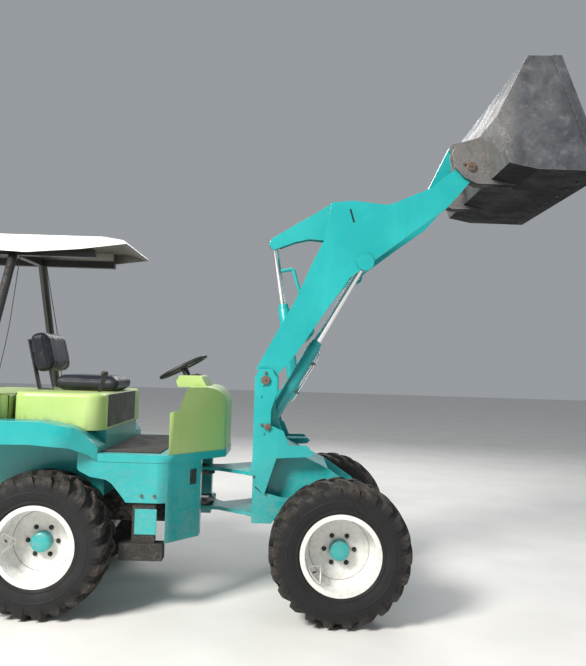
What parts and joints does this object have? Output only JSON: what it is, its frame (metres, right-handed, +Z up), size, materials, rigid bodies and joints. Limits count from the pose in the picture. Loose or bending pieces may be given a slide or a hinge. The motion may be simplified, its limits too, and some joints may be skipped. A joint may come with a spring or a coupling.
{
  "type": "articulated wheel loader",
  "caption": "Compact articulated wheel loader with an open canopy, its boom raised, its bucket held level, and lugged tyres.",
  "frame": {"origin": "on the ground under the articulation pin, midway between the axles, on the centre plane", "axes": "+X forward towards the bucket, +Y to the machine's left, +Z up"},
  "size_m": [4.332, 1.65, 3.571],
  "materials": {
    "teal_paint": "gloss paint, turquoise",
    "lime_panel": "gloss moulded panel, yellow-green",
    "white_paint": "gloss white paint",
    "roof_white": "weathered white moulding",
    "black_paint": "satin black paint",
    "tyre_rubber": "dusty black rubber",
    "bucket_steel": "worn dark steel with rust",
    "pin_steel": "greasy machined steel",
    "rod_chrome": "hard chrome",
    "seat_vinyl": "black vinyl",
    "black_rubber": "ribbed rubber",
    "black_plastic": "black moulded plastic",
    "engine_grey": "dark casting",
    "lamp_red": "red lens"
  },
  "bodies": {
    "rear_frame": {"rear_frame": "black_paint", "rear_frame_pins": "pin_steel", "rear_axle": "teal_paint", "engine_block": "engine_grey", "platform": "teal_paint", "fenders": "teal_paint", "bay_walls": "teal_paint", "seat_cover": "lime_panel", "hood_hinge": "pin_steel", "rear_grille": "black_paint", "counterweight": "teal_paint", "cowl": "lime_panel", "rops_frame": "black_paint", "canopy_roof": "roof_white", "seat_cushion": "seat_vinyl", "seat_back": "seat_vinyl", "seat_brackets": "black_paint", "steering_wheel": "black_plastic", "steering_column": "black_plastic", "levers": "black_plastic", "floor_mat": "black_rubber", "steps": "black_rubber", "rear_lamps": "lamp_red"},
    "front_frame": {"front_frame": "teal_paint", "boom_tower": "teal_paint", "front_frame_pins": "pin_steel", "front_axle": "teal_paint"},
    "boom": {"boom": "teal_paint"},
    "bucket_pins": {"bucket_pins": "pin_steel"},
    "bucket": {"bucket": "bucket_steel", "cutting_edge": "bucket_steel"},
    "crank_pin": {"crank_pin": "pin_steel"},
    "bell_crank": {"bell_crank": "teal_paint"},
    "link_pin": {"link_pin": "pin_steel"},
    "tilt_link": {"tilt_link": "teal_paint"},
    "tilt_barrel": {"tilt_barrel": "teal_paint"},
    "tilt_rod": {"tilt_rod": "rod_chrome"},
    "lift_barrels": {"lift_barrels": "teal_paint"},
    "lift_rods": {"lift_rods": "rod_chrome"},
    "steer_barrel": {"steer_barrel": "teal_paint"},
    "steer_rod": {"steer_rod": "rod_chrome"},
    "engine_hood": {"engine_hood": "lime_panel"},
    "wheel_front_left": {"tyre_front_left": "tyre_rubber", "rim_front_left": "white_paint", "hub_front_left": "teal_paint"},
    "wheel_front_right": {"tyre_front_right": "tyre_rubber", "rim_front_right": "white_paint", "hub_front_right": "teal_paint"},
    "wheel_rear_left": {"tyre_rear_left": "tyre_rubber", "rim_rear_left": "white_paint", "hub_rear_left": "teal_paint"},
    "wheel_rear_right": {"tyre_rear_right": "tyre_rubber", "rim_rear_right": "white_paint", "hub_rear_right": "teal_paint"}
  },
  "joints": [
    {"name": "steer", "type": "hinge", "parent": "rear_frame", "child": "front_frame", "pos_m": [0, 0, 0.7], "axis": [0, 0, 1], "range_deg": [-40, 40]},
    {"name": "boom_lift", "type": "hinge", "parent": "front_frame", "child": "boom", "pos_m": [0.428, 0, 1.488], "axis": [0, 1, 0], "range_deg": [0, 91]},
    {"name": "bucket_level", "type": "hinge", "parent": "boom", "child": "bucket_pins", "pos_m": [1.767, 0, 2.965], "axis": [0, 1, 0], "range_deg": [-91.18, 0]},
    {"name": "bucket_tilt", "type": "hinge", "parent": "bucket_pins", "child": "bucket", "pos_m": [1.767, 0, 2.965], "axis": [0, 1, 0], "range_deg": [-45, 40]},
    {"name": "crank_lift", "type": "hinge", "parent": "boom", "child": "crank_pin", "pos_m": [0.925, 0, 2.62], "axis": [0, 1, 0], "range_deg": [0, 26.17]},
    {"name": "crank_tilt", "type": "hinge", "parent": "crank_pin", "child": "bell_crank", "pos_m": [0.925, 0, 2.62], "axis": [0, 1, 0], "range_deg": [-8.18, 9.2]},
    {"name": "link_lift", "type": "hinge", "parent": "bell_crank", "child": "link_pin", "pos_m": [1.55, 0, 2.785], "axis": [0, 1, 0], "range_deg": [-61.64, 0]},
    {"name": "link_tilt", "type": "hinge", "parent": "link_pin", "child": "tilt_link", "pos_m": [1.55, 0, 2.785], "axis": [0, 1, 0], "range_deg": [-31.2, 27.74]},
    {"name": "tilt_barrel_swing", "type": "hinge", "parent": "front_frame", "child": "tilt_barrel", "pos_m": [0.625, 0, 1.42], "axis": [0, 1, 0], "range_deg": [0, 96.74]},
    {"name": "tilt_rod_slide", "type": "slide", "parent": "tilt_barrel", "child": "tilt_rod", "axis": [-0.1644, 0, 0.9864], "range_m": [-0.08324, 0.09365]},
    {"name": "lift_barrel_swing", "type": "hinge", "parent": "front_frame", "child": "lift_barrels", "pos_m": [0.45, 0, 1.18], "axis": [0, 1, 0], "range_deg": [0, 85.35]},
    {"name": "lift_rod_slide", "type": "slide", "parent": "lift_barrels", "child": "lift_rods", "axis": [0.4858, 0, 0.8741], "range_m": [-0.42778, 0]},
    {"name": "steer_barrel_swing", "type": "hinge", "parent": "rear_frame", "child": "steer_barrel", "pos_m": [-0.52, 0.17, 0.608], "axis": [0, 0, 1], "range_deg": [-2.08, 2.08]},
    {"name": "steer_rod_slide", "type": "slide", "parent": "steer_barrel", "child": "steer_rod", "axis": [0.9998, 0.0179, 0], "range_m": [-0.11703, 0.11703]},
    {"name": "hood_lid", "type": "hinge", "parent": "rear_frame", "child": "engine_hood", "pos_m": [-1.195, 0, 1.346], "axis": [0, 1, 0], "range_deg": [0, 50]},
    {"name": "wheel_front_left_spin", "type": "hinge", "parent": "front_frame", "child": "wheel_front_left", "pos_m": [0.93, 0.65, 0.445], "axis": [0, 1, 0], "continuous": true},
    {"name": "wheel_front_right_spin", "type": "hinge", "parent": "front_frame", "child": "wheel_front_right", "pos_m": [0.93, -0.65, 0.445], "axis": [0, 1, 0], "continuous": true},
    {"name": "wheel_rear_left_spin", "type": "hinge", "parent": "rear_frame", "child": "wheel_rear_left", "pos_m": [-0.93, 0.65, 0.445], "axis": [0, 1, 0], "continuous": true},
    {"name": "wheel_rear_right_spin", "type": "hinge", "parent": "rear_frame", "child": "wheel_rear_right", "pos_m": [-0.93, -0.65, 0.445], "axis": [0, 1, 0], "continuous": true}
  ],
  "couplings": [
    {"joint": "bucket_level", "follows": "boom_lift", "ratio": -1},
    {"joint": "crank_lift", "follows": "boom_lift", "ratio": 0.287},
    {"joint": "link_lift", "follows": "boom_lift", "ratio": -0.676},
    {"joint": "tilt_barrel_swing", "follows": "boom_lift", "ratio": 1.061},
    {"joint": "lift_barrel_swing", "follows": "boom_lift", "ratio": 0.936},
    {"joint": "lift_rod_slide", "follows": "boom_lift", "m_per_rad": -0.2688},
    {"joint": "crank_tilt", "follows": "bucket_tilt", "ratio": -0.204},
    {"joint": "link_tilt", "follows": "bucket_tilt", "ratio": 0.692},
    {"joint": "tilt_rod_slide", "follows": "bucket_tilt", "m_per_rad": -0.119},
    {"joint": "steer_barrel_swing", "follows": "steer", "ratio": 0.052},
    {"joint": "steer_rod_slide", "follows": "steer", "m_per_rad": -0.1673}
  ]
}
